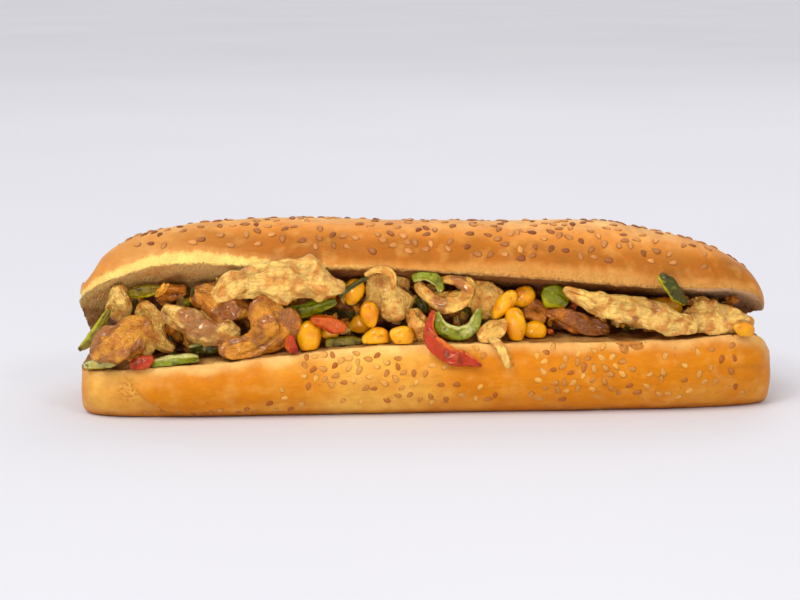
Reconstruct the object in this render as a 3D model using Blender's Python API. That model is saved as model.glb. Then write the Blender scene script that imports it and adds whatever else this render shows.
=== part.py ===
"""Submarine sandwich: a sesame roll split along its front, filled with chicken, corn and peppers.

X runs along the roll, Y from its mouth (front, -Y) to its hinge, Z up. It rests on Z = 0.
Sizes in this file are millimetres, made metres where a mesh is built.
"""

import math
import random

import bmesh
import bpy
from mathutils import Matrix, Vector, noise
from mathutils.bvhtree import BVHTree

MM = 0.001
GAP = 0.4
CLEARANCE = 1.0

# The roll as it lies: the lower half is a flat-bottomed tub, the upper half a dome tilted open.
HALF_LENGTH = 120.5
UPPER_HALF_LENGTH = 118.7
UPPER_MIDDLE_X = -1.6
CUT_HALF_WIDTH = 33.5
SIDE_BULGE = 3.6
HINGE_Y = 27.0
DOME_CENTRE = 29.0
DOME_HALF_WIDTH = 34.0
DOME_LEAST_THICKNESS = 3.0
LOWER_PLAN_POWER = 6.0
UPPER_PLAN_POWER = 8.0
TUB_POWER = 5.5
DOME_POWER = 2.7
UNDERSIDE_FLAT = 2.6
END_CORNER = 5.5
CRUST_UNEVENNESS = 0.5

# Lines along the roll, as (x, value): the cut edge's height, the dome's top and the opening angle.
CUT_LINE = [
    (-120.5, 15), (-112, 16.2), (-100, 17.3), (-89, 18.3), (-75, 19.1), (-62, 20.2), (-52, 21.5), (-44, 22.3),
    (-27, 24), (-10, 24.8), (57, 24.8), (92, 25.3), (102, 25.9), (108, 25.6), (113, 24.8), (117, 21.5),
    (120.5, 17),
]
TOP_LINE = [
    (-120, 43), (-115, 48.5), (-112, 53), (-106, 57.2), (-96, 60.9), (-78, 63.8), (-61, 65), (-44, 65.5),
    (-9, 64.4), (26, 63.7), (61, 63.3), (75, 61), (89.5, 57.6), (100, 54), (107, 50), (113, 45), (118, 36),
]
TILT_LINE = [
    (-120, 27.5), (-109, 30.2), (-101, 31.9), (-90, 32.9), (-77, 32.4), (-61, 29.9), (-44, 27.3), (-27, 25.4),
    (7, 22.9), (41, 20.4), (75, 17.3), (106, 15.4), (120, 13),
]

LOWER_STATIONS = 25
UPPER_STATIONS = 27
CRUST_STEPS = 19
FACE_STEPS = 5
STATION_CROWDING = 1.75
FINE_STEPS = 90

TOP_SEEDS = 118
FRONT_SEEDS = 40
BACK_SEEDS = 14
SEED_SIZE = (1.7, 1.1, 0.62)
SEED_SPACING = 4.0
SEED_RISE = -0.06
LOWEST_SEED = 2.4
MOST_TRIES = 6000

BED_STATIONS = 25
BED_REACH = 38.5
BED_LUMPS = 3.0
BED_HALF_LENGTH = 114.0

PUSH_STEP = 0.4
MOST_PUSHES = 45


def along(line, x):
    """Value at x of the smooth line through the (x, value) points, held level past its ends."""
    x = min(max(x, line[0][0]), line[-1][0])
    index = next(i for i in range(len(line) - 1) if x <= line[i + 1][0])
    (x0, v0), (x1, v1) = line[index], line[index + 1]
    step = x1 - x0
    before = line[index - 1] if index else line[index]
    after = line[index + 2] if index + 2 < len(line) else line[index + 1]
    slope0 = (v1 - before[1]) / (x1 - before[0]) * step
    slope1 = (after[1] - v0) / (after[0] - x0) * step
    t = (x - x0) / step
    return (
        v0 * (2 * t**3 - 3 * t**2 + 1)
        + slope0 * (t**3 - 2 * t**2 + t)
        + v1 * (3 * t**2 - 2 * t**3)
        + slope1 * (t**3 - t**2)
    )


def signed_power(value, power):
    return math.copysign(abs(value) ** power, value)


def plan(x, half_length, power):
    """Share of the full width at x, on a blunt-ended outline seen from above."""
    return (1 - min(1.0, abs(x) / half_length) ** power) ** (1 / power)


def unevenness(x, y, z):
    """Soft lumps of a hand-rolled loaf, from -1 to 1."""
    return noise.noise(Vector((x / 34, y / 19, z / 17)))


def tilt(x):
    return math.radians(along(TILT_LINE, x))


def tub_outline(x):
    """Crust of the lower half at x, from the front cut edge, underneath, to the back cut edge."""
    height = along(CUT_LINE, x)
    width = plan(x, HALF_LENGTH, LOWER_PLAN_POWER)
    inset = max(0.0, abs(x) - (HALF_LENGTH - END_CORNER)) / END_CORNER
    lift = END_CORNER * (1 - math.sqrt(max(0.0, 1 - inset**2)))
    points = []
    for step in range(FINE_STEPS + 1):
        turn = math.pi * step / FINE_STEPS
        across = -signed_power(math.cos(turn), 2 / TUB_POWER)
        depth = abs(math.sin(turn)) ** (2 / TUB_POWER)
        z = max(lift, height - (height + UNDERSIDE_FLAT) * depth)
        swell = SIDE_BULGE * math.sin(math.pi * (1 - z / height) ** 0.9)
        if 0 < step < FINE_STEPS:
            swell += CRUST_UNEVENNESS * unevenness(x, 40 * across, z)
        points.append(Vector((x, across * (CUT_HALF_WIDTH + swell) * width, z)))
    return points


def dome_thickness(x, half_width):
    """Thickness at x that brings the tilted dome up to the top line."""
    angle = tilt(x)
    reach = along(TOP_LINE, x) - along(CUT_LINE, x) - DOME_CENTRE * math.sin(angle)
    dual = DOME_POWER / (DOME_POWER - 1)
    rest = reach**dual - (half_width * math.sin(angle)) ** dual
    if rest <= 0:
        return DOME_LEAST_THICKNESS
    return max(DOME_LEAST_THICKNESS, rest ** (1 / dual) / math.cos(angle))


def opened(x, out, up):
    """Point of the upper half that lies `out` from the hinge line and `up` from the cut face."""
    angle = tilt(x)
    y = HINGE_Y - out * math.cos(angle) + up * math.sin(angle)
    z = along(CUT_LINE, x) + out * math.sin(angle) + up * math.cos(angle)
    return Vector((x, y, z))


def dome_outline(x):
    """Crust of the upper half at x, from the back edge over the top to the front lip."""
    half_width = DOME_HALF_WIDTH * plan(x - UPPER_MIDDLE_X, UPPER_HALF_LENGTH, UPPER_PLAN_POWER)
    thickness = dome_thickness(x, half_width)
    points = []
    for step in range(FINE_STEPS + 1):
        turn = math.pi * step / FINE_STEPS
        out = DOME_CENTRE - half_width * signed_power(math.cos(turn), 2 / DOME_POWER)
        up = thickness * math.sin(turn) ** (2 / DOME_POWER)
        if 0 < step < FINE_STEPS:
            up += CRUST_UNEVENNESS * unevenness(x, out, 60)
        points.append(opened(x, out, up))
    return points


def at_share(points, share):
    """Point at a share of the length of a chain of points."""
    lengths = [(b - a).length for a, b in zip(points, points[1:])]
    left = share * sum(lengths)
    for index, length in enumerate(lengths):
        if left <= length:
            return points[index].lerp(points[index + 1], left / length)
        left -= length
    return points[-1].copy()


def section(outline, x):
    """Closed ring of points: the crust in even steps, then the flat cut face."""
    chain = outline(x)
    ring = [at_share(chain, step / (CRUST_STEPS - 1)) for step in range(CRUST_STEPS)]
    face = [chain[-1].lerp(chain[0], step / FACE_STEPS) for step in range(1, FACE_STEPS)]
    return ring + face


def stations(count, half_length):
    """Places along the roll, crowded towards the round ends."""
    places = []
    for step in range(count):
        share = (step + 0.5) / count * 2 - 1
        places.append(half_length * math.copysign(1 - (1 - abs(share)) ** STATION_CROWDING, share))
    return places


def loft(name, rings):
    """Closed skin over the rings, with a fan of faces over each end."""
    mesh = bmesh.new()
    rows = [[mesh.verts.new(point * MM) for point in ring] for ring in rings]
    for near, far in zip(rows, rows[1:]):
        for i, corner in enumerate(near):
            mesh.faces.new((near[i - 1], corner, far[i], far[i - 1]))
    mesh.faces.new(rows[0])
    mesh.faces.new(rows[-1][::-1])
    bmesh.ops.recalc_face_normals(mesh, faces=mesh.faces)
    ends = [face for face in mesh.faces if len(face.verts) > 4]
    bmesh.ops.poke(mesh, faces=ends)
    bmesh.ops.triangulate(mesh, faces=mesh.faces)
    return finished(name, mesh)


def finished(name, mesh):
    """New object from a bmesh, shaded smooth."""
    data = bpy.data.meshes.new(name)
    mesh.to_mesh(data)
    mesh.free()
    data.shade_smooth()
    return bpy.data.objects.new(name, data)


def painted(thing, colour, roughness):
    """Gives an object its own plain material."""
    material = bpy.data.materials.new(thing.name + "_surface")
    material.use_nodes = True
    shader = material.node_tree.nodes["Principled BSDF"]
    shader.inputs["Base Color"].default_value = (*colour, 1)
    shader.inputs["Roughness"].default_value = roughness
    shader.inputs["Metallic"].default_value = 0.0
    thing.data.materials.clear()
    thing.data.materials.append(material)


def seed_at(middle, normal, spin, size, draw):
    """Flattened seed lying on a facet of the crust."""
    side = Vector((1, 0, 0)).cross(normal).cross(normal).normalized()
    across = normal.cross(side)
    long_way = side * math.cos(spin) + across * math.sin(spin)
    wide_way = normal.cross(long_way)
    mesh = bmesh.new()
    bmesh.ops.create_icosphere(mesh, subdivisions=1, radius=1)
    for vertex in mesh.verts:
        point = vertex.co
        taper = 1 - 0.25 * point.x
        vertex.co = MM * (
            middle
            + normal * (SEED_RISE + size * SEED_SIZE[2] * point.z)
            + long_way * size * SEED_SIZE[0] * point.x
            + wide_way * size * SEED_SIZE[1] * point.y * taper
        )
    return finished(f"seed_{draw}", mesh)


def scattered(outline, crust, count, spans, rng, placed, joined):
    """Seeds drawn evenly over spans of (x low, x high, share low, share high), none too close together."""
    weights = [(high - low) * (last - first) for low, high, first, last in spans]
    tries = 0
    while count and tries < MOST_TRIES:
        tries += 1
        low, high, first, last = rng.choices(spans, weights)[0]
        x = rng.uniform(low, high)
        share = rng.uniform(first, last)
        spin = rng.uniform(0, math.pi)
        size = rng.uniform(0.9, 1.1)
        middle, normal, _, _ = crust.find_nearest(at_share(outline(x), share))
        if middle.z < LOWEST_SEED or any((middle - other).length < SEED_SPACING for other in placed):
            continue
        joined.objects.link(seed_at(middle, normal, spin, size, len(placed)))
        placed.append(middle)
        count -= 1


def applied(thing):
    """Makes the modifiers' result the object's own mesh, kept as one closed body."""
    graph = bpy.context.evaluated_depsgraph_get()
    result = bpy.data.meshes.new_from_object(thing.evaluated_get(graph))
    thing.modifiers.clear()
    thing.data = result
    mesh = bmesh.new()
    mesh.from_mesh(result)
    bmesh.ops.remove_doubles(mesh, verts=mesh.verts, dist=0.01 * MM)
    bmesh.ops.triangulate(mesh, faces=mesh.faces)
    islands = []
    unseen = set(mesh.verts)
    while unseen:
        island = set()
        front = [unseen.pop()]
        while front:
            vertex = front.pop()
            island.add(vertex)
            for link in vertex.link_edges:
                other = link.other_vert(vertex)
                if other in unseen:
                    unseen.remove(other)
                    front.append(other)
        islands.append(island)
    largest = max(islands, key=len)
    bmesh.ops.delete(mesh, geom=[v for v in mesh.verts if v not in largest], context="VERTS")
    mesh.to_mesh(result)
    mesh.free()
    result.shade_smooth()


def make_roll(sandwich):
    """One loaf: the two halves and their sesame seeds, joined along the hinge."""
    lower_places = stations(LOWER_STATIONS, HALF_LENGTH)
    upper_places = [UPPER_MIDDLE_X + x for x in stations(UPPER_STATIONS, UPPER_HALF_LENGTH)]
    lower = loft("roll", [section(tub_outline, x) for x in lower_places])
    upper = loft("roll_upper", [section(dome_outline, x) for x in upper_places])
    sandwich.objects.link(lower)
    joined = bpy.data.collections.new("joined_to_roll")
    bpy.context.scene.collection.children.link(joined)
    joined.objects.link(upper)
    rng = random.Random(7)
    placed = []
    dome, tub = tree_of(upper), tree_of(lower)
    top = [(-112, 112, 0.1, 0.8), (-100, 100, 0.8, 0.9)]
    scattered(dome_outline, dome, TOP_SEEDS, top, rng, placed, joined)
    front = [(-44, 26, 0.1, 0.3), (40, 97, 0.08, 0.34), (-100, 110, 0.27, 0.33)]
    scattered(tub_outline, tub, FRONT_SEEDS, front, rng, placed, joined)
    scattered(tub_outline, tub, BACK_SEEDS, [(-100, 100, 0.67, 0.84)], rng, placed, joined)
    union = lower.modifiers.new("join", "BOOLEAN")
    union.operation = "UNION"
    union.operand_type = "COLLECTION"
    union.collection = joined
    union.solver = "EXACT"
    bpy.context.view_layer.update()
    applied(lower)
    for helper in list(joined.objects):
        bpy.data.objects.remove(helper)
    bpy.data.collections.remove(joined)
    painted(lower, (0.62, 0.31, 0.08), 0.55)
    return lower


def kept_in_mouth(point, outside):
    """Moves a point off the two cut faces, unless it belongs to a piece that hangs out of the mouth."""
    x, y, z = point
    cut = along(CUT_LINE, x)
    if y > -CUT_HALF_WIDTH - 1 and "front" not in outside:
        z = max(z, cut + CLEARANCE)
    if "lip" not in outside:
        angle = tilt(x)
        over = (y - HINGE_Y) * math.sin(angle) + (z - cut) * math.cos(angle) + CLEARANCE
        if over > 0:
            y -= over * math.sin(angle)
            z -= over * math.cos(angle)
    return Vector((x, y, z))


def make_bed(sandwich):
    """Packed filling behind the pieces that show: one lumpy wedge from the hinge to near the mouth."""
    rings = []
    for x in stations(BED_STATIONS, BED_HALF_LENGTH):
        angle = tilt(x)
        fill = plan(x, BED_HALF_LENGTH, 4)
        wobble = [BED_LUMPS * noise.noise(Vector((x / 9, level * 2.3, 4))) for level in range(6)]
        floor = along(CUT_LINE, x) + GAP
        back = HINGE_Y - 8
        reach = back - (back - (HINGE_Y - BED_REACH)) * fill
        roof_back = (HINGE_Y - back) * math.tan(angle) - 2 * GAP
        ring = [Vector((x, back, floor)), Vector((x, (back + reach) / 2, floor))]
        for level in range(6):
            share = level / 5
            belly = 2.5 * math.sin(math.pi * share)
            y = reach - belly * fill + wobble[level] * fill
            roof = (HINGE_Y - y) * math.tan(angle) - 2 * GAP
            ring.append(Vector((x, y, floor + roof * share)))
        halfway = (back + reach) / 2
        ring.append(Vector((x, halfway, floor + (HINGE_Y - halfway) * math.tan(angle) - 2 * GAP)))
        ring.append(Vector((x, back, floor + roof_back)))
        rings.append(ring)
    bed = loft("filling_bed", rings)
    sandwich.objects.link(bed)
    painted(bed, (0.16, 0.07, 0.025), 0.5)
    return bed


def spine_at(spine, share):
    """Middle and half width at a share of the way along a piece."""
    place = share * (len(spine) - 1)
    index = min(int(place), len(spine) - 2)
    t = place - index
    knots = [spine[max(index - 1, 0)], spine[index], spine[index + 1], spine[min(index + 2,
        len(spine) - 1)]]
    result = []
    for a, b, c, d in zip(*knots):
        bend = (2 * a - 5 * b + 4 * c - d) * t**2 + (3 * b - a - 3 * c + d) * t**3
        result.append(0.5 * (2 * b + (c - a) * t + bend))
    return Vector(result[:3]), result[3]


def piece_points(mesh, piece, push):
    """Places each point of a ball round the piece's spine, as lumpy and as flat as the piece is."""
    points = []
    for vertex in mesh.verts:
        reach = math.acos(max(-1.0, min(1.0, -vertex.co.x))) / math.pi
        middle, half = spine_at(piece["spine"], reach)
        ahead, _ = spine_at(piece["spine"], min(1, reach + 0.02))
        behind, _ = spine_at(piece["spine"], max(0, reach - 0.02))
        way = (ahead - behind).normalized()
        across = Vector((0, 1, 0)).cross(way).normalized()
        deep = way.cross(across)
        ring = math.sin(math.pi * reach)
        size = ring ** piece["bluntness"]
        around = Vector((vertex.co.y, vertex.co.z)).normalized() if ring > 1e-4 else Vector((0, 0))
        bump = 1 + piece["rough"] * noise.noise(Vector((middle.x / 4, 3 * around.x,
            3 * around.y + middle.z / 5)))
        wide = signed_power(around.x, 0.8) * half * size * bump
        thick = signed_power(around.y, 0.8) * piece["depth"] * size * bump
        point = middle + across * wide + deep * thick + Vector((0, -push, 0))
        points.append(kept_in_mouth(point, piece["outside"]))
    return points


def fitted(piece, placed):
    """Moves a piece forward until it clears those behind it."""
    mesh = bmesh.new()
    lying = Matrix.Rotation(math.pi / 2, 4, "Y")
    sides, steps = piece["sides"], piece["steps"]
    bmesh.ops.create_uvsphere(mesh, u_segments=sides, v_segments=steps, radius=1, matrix=lying)
    bmesh.ops.triangulate(mesh, faces=mesh.faces)
    mesh.verts.index_update()
    faces = [[v.index for v in face.verts] for face in mesh.faces]
    for push in range(MOST_PUSHES):
        points = piece_points(mesh, piece, push * PUSH_STEP)
        tree = BVHTree.FromPolygons(fattened(points, faces), faces)
        if not any(tree.overlap(other) for other in placed):
            break
    placed.append(BVHTree.FromPolygons(points, faces))
    for vertex, point in zip(mesh.verts, points):
        vertex.co = point * MM
    return finished(piece["name"], mesh)


def fattened(points, faces):
    """The points moved out by the gap that neighbours keep."""
    normals = [Vector((0, 0, 0)) for _ in points]
    middle = sum(points, Vector((0, 0, 0))) / len(points)
    for a, b, c in faces:
        normal = (points[b] - points[a]).cross(points[c] - points[a])
        if normal.dot(points[a] + points[b] + points[c] - 3 * middle) < 0:
            normal = -normal
        for index in (a, b, c):
            normals[index] += normal
    return [point + GAP * normal.normalized() for point, normal in zip(points, normals)]


def tree_of(thing):
    mesh = thing.data
    points = [vertex.co / MM for vertex in mesh.vertices]
    return BVHTree.FromPolygons(points, [tuple(face.vertices) for face in mesh.polygons])


def chicken(name, y, depth, spine, outside="", sides=10, steps=8):
    """Torn strip or chunk of grilled chicken."""
    look = {"rough": 0.6, "bluntness": 0.42, "colour": (0.66, 0.42, 0.17), "shine": 0.45}
    return shaped("chicken_" + name, y, depth, spine, outside, sides, steps, look)


def corn(name, y, x, z, length, width, turn):
    """Sweetcorn kernel: a flattened drop, wide at the crown."""
    look = {"rough": 0.1, "bluntness": 0.6, "colour": (0.80, 0.38, 0.02), "shine": 0.25}
    angle = math.radians(turn)
    dx, dz = math.cos(angle) * length / 2, math.sin(angle) * length / 2
    spine = [(x - dx, z - dz, width * 0.34), (x, z, width * 0.5), (x + dx, z + dz, width * 0.56)]
    return shaped("corn_" + name, y, width * 0.36, spine, "", 8, 5, look)


def pepper(name, y, depth, spine, outside="", kind="green", steps=8):
    """Strip of pepper, bent along its spine."""
    colour = (0.16, 0.22, 0.02) if kind == "green" else (0.55, 0.05, 0.01)
    look = {"rough": 0.15, "bluntness": 0.36, "colour": colour, "shine": 0.25}
    return shaped(f"{kind}_pepper_{name}", y, depth, spine, outside, 6, steps, look)


def shaped(name, y, depth, spine, outside, sides, steps, look):
    """One piece's sizes; a spine point without its own y lies in the piece's layer."""
    points = [(x, rest[0] if rest else y, z, half) for x, z, half, *rest in spine]
    sizes = {"name": name, "spine": points, "depth": depth, "outside": outside}
    sizes |= {"sides": sides, "steps": steps}
    return sizes | look


# Pieces from the deepest to the foremost. A spine point is (x, z, half width), and has its own y where
# it leaves the layer.
PIECES = [
    chicken("crumbs_left", -18, 3.0, [(-93.2, 40.3, 2.2), (-88.2, 41.8, 2.8), (-83.2, 42.2, 2.4)],
        sides=8, steps=6),
    pepper("dark_left", -20, 1.3, [(-103.2, 41.4, 1.5), (-97.2, 42.3, 2), (-91.7, 43.3, 1.2)], steps=7),
    pepper("dark_right", -19, 1.6, [(55.8, 37.5, 1.4), (59.8, 38.1, 2), (64.8, 37, 1.3)], steps=6),
    chicken("crumbly", -19, 3.5, [(32.3, 32.7, 3), (36.8, 33.2, 3.6), (41.3, 31.6, 3)], sides=8,
        steps=6),
    chicken("slab", -21, 3.0, [(12.8, 45.4, 3), (16.8, 41.8, 6), (19.3, 36.4, 6), (17.8, 31.3, 3.5)]),
    chicken("centre_chunk", -22, 3.8, [(-20.2, 48.2, 4), (-15.2, 43.5, 7.6), (-12.2, 37.1, 7.4),
        (-11.2, 31.1, 3.5)], sides=12),
    pepper("dark_centre", -21, 1.3, [(-3.7, 39, 1.3), (-2.2, 36, 1.7), (-1.2, 33, 1.2)], steps=6),
    chicken("thin_right", -21, 1.8, [(89.3, 35.7, 1.2), (94.8, 35.6, 1.8), (100.3, 34.1, 1.2)], sides=6,
        steps=7),
    corn("09", -23, 32.2, 38.9, 9.5, 7.2, 30),
    corn("11", -22, 82.4, 34.9, 11.8, 6.4, -16),
    corn("02", -23, -25.7, 41.5, 9.6, 7.2, 70),
    corn("04", -20, -23.7, 29.7, 7.6, 7.0, 20),
    chicken("seared", -20, 3.4, [(-81.7, 41.2, 3.5), (-74.2, 39.1, 5.2), (-67.2, 36.4, 5),
        (-61.2, 34, 2.8)]),
    chicken("upright", -23, 3.5, [(-104.7, 31.9, 3.2), (-105.2, 38.9, 3.8), (-106.2, 44.9, 2.4)],
        sides=8, steps=6),
    pepper("bright_right", -24, 2.6, [(39, 41.2, 2), (42.6, 39.6, 3.6), (47.8, 36.8, 2.2)], steps=7),
    chicken("glazed_right", -22, 2.6, [(40.8, 34.1, 2.2), (47.8, 31.6, 3.6), (55.8, 28, 3.4),
        (62.8, 26.2, 2.2)], sides=8),
    chicken("pale_flat", -22, 2.6, [(-98.2, 38.9, 2.5), (-96.2, 33.8, 5), (-95.2, 28.8, 4),
        (-92.2, 24.8, 2.6), (-87.7, 21.8, 1.9)]),
    chicken("shredded_right", -22, 3.6, [(87.3, 31.7, 3.2), (94.8, 31.2, 5.2), (102.8, 30.1, 5.2),
        (111.8, 27.5, 3.6)], sides=12),
    pepper("lying_left", -22, 2.4, [(-82.7, 22.1, 1.5), (-74.2, 22.5, 1.9), (-66.2, 22.6, 1.5)],
        steps=7),
    chicken("small_centre", -24, 3.0, [(-6, 36, 2.6), (-4.7, 30, 3.5), (-3.2, 24.6, 2.8)], sides=8,
        steps=6),
    corn("10", -24, 36.2, 27.5, 8.8, 7.0, -10),
    corn("14", -25, -34.2, 27.8, 6.4, 5.2, 10),
    pepper("under_centre", -24, 1.6, [(-35.7, 24.6, 1.8), (-29.2, 25, 2.2), (-23.2, 25, 1.6)], steps=7),
    pepper("charred", -24, 1.6, [(-49.2, 35.2, 1.9), (-42.2, 35.4, 2.5), (-36.2, 37.3, 2.1),
        (-31.7, 38.9, 1.2)]),
    chicken("strip_left", -25, 3.5, [(-91.2, 37.1, 3), (-83.2, 32.7, 5), (-74.2, 28.8, 5),
        (-64.7, 27.2, 4)]),
    chicken("upright_fold", -22, 3.4, [(-53.2, 44.5, 4.2), (-55.2, 37.5, 6), (-53.7, 30.5, 6.2),
        (-60.2, 25.1, 4.6), (-72.2, 23, 2.6)], sides=9, steps=10),
    corn("07", -27, 25.5, 37, 12.4, 5.8, 52),
    corn("03", -27, -20.4, 34.2, 9.4, 6.4, 100),
    corn("12", -26, 1.4, 29.2, 8.6, 5.0, 95),
    chicken("curl", -28, 2.8, [(-4.2, 45.6, 2.1), (-0.7, 41, 2.5), (4.8, 38.7, 2.7), (10.8, 39.5, 2.7),
        (13.2, 43.1, 2.5), (9.8, 46.1, 2.2), (3.8, 46.4, 1.8)], sides=8, steps=13),
    pepper("arched", -30, 1.5, [(-6, 47, 1.5), (-1.2, 48.4, 1.9), (2.6, 46.2, 1.7), (3.6, 42.6, 1.3)],
        steps=9),
    chicken("knobs", -27, 3.0, [(-104.2, 21.5, 3.2), (-98.7, 23.3, 3.8), (-95.2, 21, 2.8)], sides=8,
        steps=6),
    chicken("flap", -28, 3.0, [(-94.2, 33.6, 3), (-101.2, 30.2, 6.2), (-107.2, 26.3, 6.4),
        (-114.7, 22, 3.2)]),
    pepper("left_tip", -27, 1.3, [(-108.7, 37.4, 1.1), (-112, 31.5, 1.5), (-115.6, 26.6, 1.7),
        (-119.6, 23.4, 1.4)]),
    pepper("pale_left", -26, 2.4, [(-118.2, 17.8, 1.2), (-112.7, 18.4, 1.6), (-106.7, 18.9, 1.2)],
        steps=6),
    corn("01", -29, -41.2, 26.6, 13, 8.4, 84),
    corn("06", -28, -9.8, 27.7, 8.6, 7.2, -20),
    corn("05", -29, -18.6, 26.6, 9.6, 7.2, 8),
    corn("08", -28, 29.4, 30.1, 13, 7.4, 98),
    corn("13", -28, 107.4, 28.4, 7.6, 5.4, -20),
    chicken("strip_centre", -29, 2.2, [(15.8, 27.5, 1.9), (20.8, 28.8, 2.7), (26.2, 32.2, 2.1)],
        sides=8, steps=6),
    pepper("glazed", -29, 1.9, [(-40.7, 33.5, 1.7), (-34.2, 32.3, 2.5), (-28.6, 30.2, 1.9)], kind="red",
        steps=7),
    pepper("sliver", -28, 1.6, [(-47.4, 29, 1.3), (-47.4, 25.2, 1.8), (-45.8, 22.4, 1.4)], kind="red",
        steps=6),
    pepper("curved", -30, 1.7, [(2.2, 35.6, 1.5), (4.2, 30, 2.3), (9.8, 27.9, 2.5), (14.4, 30.1, 2.3),
        (17, 36.4, 1.6)], steps=10),
    pepper("low_left", -31, 2.2, [(-94.7, 19.2, 1.3), (-87.2, 19.9, 1.9), (-78.7, 20.8, 1.4)], steps=7),
    pepper("dice_left", -33, 1.5, [(-101.8, 18.9, 1.5), (-97.7, 19.8, 2.1), (-93.8, 21.6, 1.4)],
        kind="red", steps=6),
    chicken("long_strip", -29, 3.0, [(45.3, 43.2, 1.4), (51.8, 39.7, 2.3), (58.8, 36.9, 3.6),
        (70.8, 34.4, 4.2), (80.8, 31.5, 5), (91.8, 29, 3.4)], steps=11),
    chicken("top_piece", -31, 2.8, [(-73.2, 41.6, 2.6), (-65.2, 46.2, 4.4), (-53.2, 47.9, 5.8),
        (-41.2, 46.6, 6.2), (-28.7, 44.6, 3.6)], outside="lip", steps=11),
    chicken("strand", -31, 0.9, [(-22.2, 48.8, 0.9), (-17.7, 50.7, 1.1), (-13.2, 49.1, 1.2),
        (-12.6, 43.7, 1)], outside="lip", sides=6),
    pepper("thin_strand", -30, 0.8, [(-30.8, 41.3, 0.8), (-26.2, 44.8, 0.9), (-20.8, 47.8, 0.8)],
        steps=7),
    pepper("over_lip", -33, 1.3, [(77.2, 48.9, 1.7, -35.4), (80.4, 45.3, 2.3, -35.2),
        (83.8, 41.3, 2.5, -32.5), (87.4, 37.6, 1.6, -29)], outside="lip"),
    pepper("over_edge", -34, 1.1, [(1.2, 36.6, 1, -32), (-0.6, 31, 1.7, -33.4), (0.6, 26.4, 2.4, -36),
        (5.8, 22.1, 2.9, -38.2), (11.8, 20.7, 2.6, -38.6), (17, 18.4, 1, -38.8)], outside="front",
        kind="red", steps=12),
    chicken("pale_strand", -34, 0.7, [(19.4, 27.2, 1, -32.5), (22.8, 25.4, 1.3, -35.4),
        (24.8, 20.8, 1.1, -38), (26, 17.6, 0.9, -38)], outside="front", sides=6),
]


def main():
    for thing in list(bpy.data.objects):
        bpy.data.objects.remove(thing)
    sandwich = bpy.data.collections.new("submarine_sandwich")
    bpy.context.scene.collection.children.link(sandwich)
    roll = make_roll(sandwich)
    bed = make_bed(sandwich)
    placed = [tree_of(roll), tree_of(bed)]
    for piece in PIECES:
        thing = fitted(piece, placed)
        sandwich.objects.link(thing)
        painted(thing, piece["colour"], piece["shine"])


main()
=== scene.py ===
import math
import random

import bmesh
import bpy
from mathutils import Matrix, Vector, noise
from mathutils.bvhtree import BVHTree


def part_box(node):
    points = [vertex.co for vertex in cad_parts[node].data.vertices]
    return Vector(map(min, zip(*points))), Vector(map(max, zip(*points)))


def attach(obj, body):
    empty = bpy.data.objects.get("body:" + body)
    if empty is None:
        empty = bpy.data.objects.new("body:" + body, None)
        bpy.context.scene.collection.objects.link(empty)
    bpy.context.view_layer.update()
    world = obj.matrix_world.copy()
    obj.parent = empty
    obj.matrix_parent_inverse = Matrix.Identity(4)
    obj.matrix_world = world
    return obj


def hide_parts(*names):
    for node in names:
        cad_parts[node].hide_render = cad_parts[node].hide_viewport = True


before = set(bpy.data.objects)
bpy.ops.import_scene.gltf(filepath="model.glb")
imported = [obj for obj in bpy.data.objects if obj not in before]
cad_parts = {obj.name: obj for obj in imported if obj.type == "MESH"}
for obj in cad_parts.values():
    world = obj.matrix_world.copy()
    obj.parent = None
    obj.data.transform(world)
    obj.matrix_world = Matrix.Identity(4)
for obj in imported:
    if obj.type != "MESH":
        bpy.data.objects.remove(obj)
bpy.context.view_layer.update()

# Lower half of the roll: soft white bread with a thin golden crust, baked on a flat tray and cut open from
# the front. The cut leaves a pale edge, and the dough was folded over near the left end, where a seam shows.
MM = 0.001
HALF_LENGTH = 120.5
CUT_HALF_WIDTH = 33.5
SIDE_BULGE = 3.6
UNDERSIDE_FLAT = 2.6
END_CORNER = 5.5
TUB_POWER = 5.5
CUT_LINE = [
    (-120.5, 15), (-112, 16.2), (-100, 17.3), (-89, 18.3), (-75, 19.1), (-62, 20.2), (-52, 21.5), (-44, 22.3),
    (-27, 24), (-10, 24.8), (57, 24.8), (92, 25.3), (102, 25.9), (108, 25.6), (113, 24.8), (117, 21.5),
    (120.5, 17),
]
FOLD_LINE = [(-109, 19.5), (-104.7, 16), (-100, 11), (-96.1, 6.5), (-91, 2.6), (-86, 0.3)]
CRUST_ROWS = 440
ROW_CROWDING = 1.35
OUTLINE_STEPS = 90
POLE_ARC = 12.0


def along(line, x):
    """Value at x of the smooth line through the (x, value) points, held level past its ends."""
    x = min(max(x, line[0][0]), line[-1][0])
    index = next(i for i in range(len(line) - 1) if x <= line[i + 1][0])
    (x0, v0), (x1, v1) = line[index], line[index + 1]
    span = x1 - x0
    before = line[index - 1] if index else line[index]
    after = line[index + 2] if index + 2 < len(line) else line[index + 1]
    slope0 = (v1 - before[1]) / (x1 - before[0]) * span
    slope1 = (after[1] - v0) / (after[0] - x0) * span
    t = (x - x0) / span
    ends = v0 * (2 * t**3 - 3 * t**2 + 1) + v1 * (3 * t**2 - 2 * t**3)
    return ends + slope0 * (t**3 - 2 * t**2 + t) + slope1 * (t**3 - t**2)


def signed_power(value, power):
    return math.copysign(abs(value) ** power, value)


def plan(x, half_length, power):
    """Share of the full width at x, on a blunt-ended outline seen from above."""
    return (1 - min(1.0, abs(x) / half_length) ** power) ** (1 / power)


def smooth(value, low, high):
    """Soft step from 0 at low to 1 at high."""
    t = min(1.0, max(0.0, (value - low) / (high - low)))
    return t * t * (3 - 2 * t)


def cloud(place, size, shift=0.0):
    """Soft noise from about -1 to 1, in lumps of this size in mm."""
    return noise.noise(Vector((place[0] / size, place[1] / size + shift, place[2] / size)))


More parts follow.
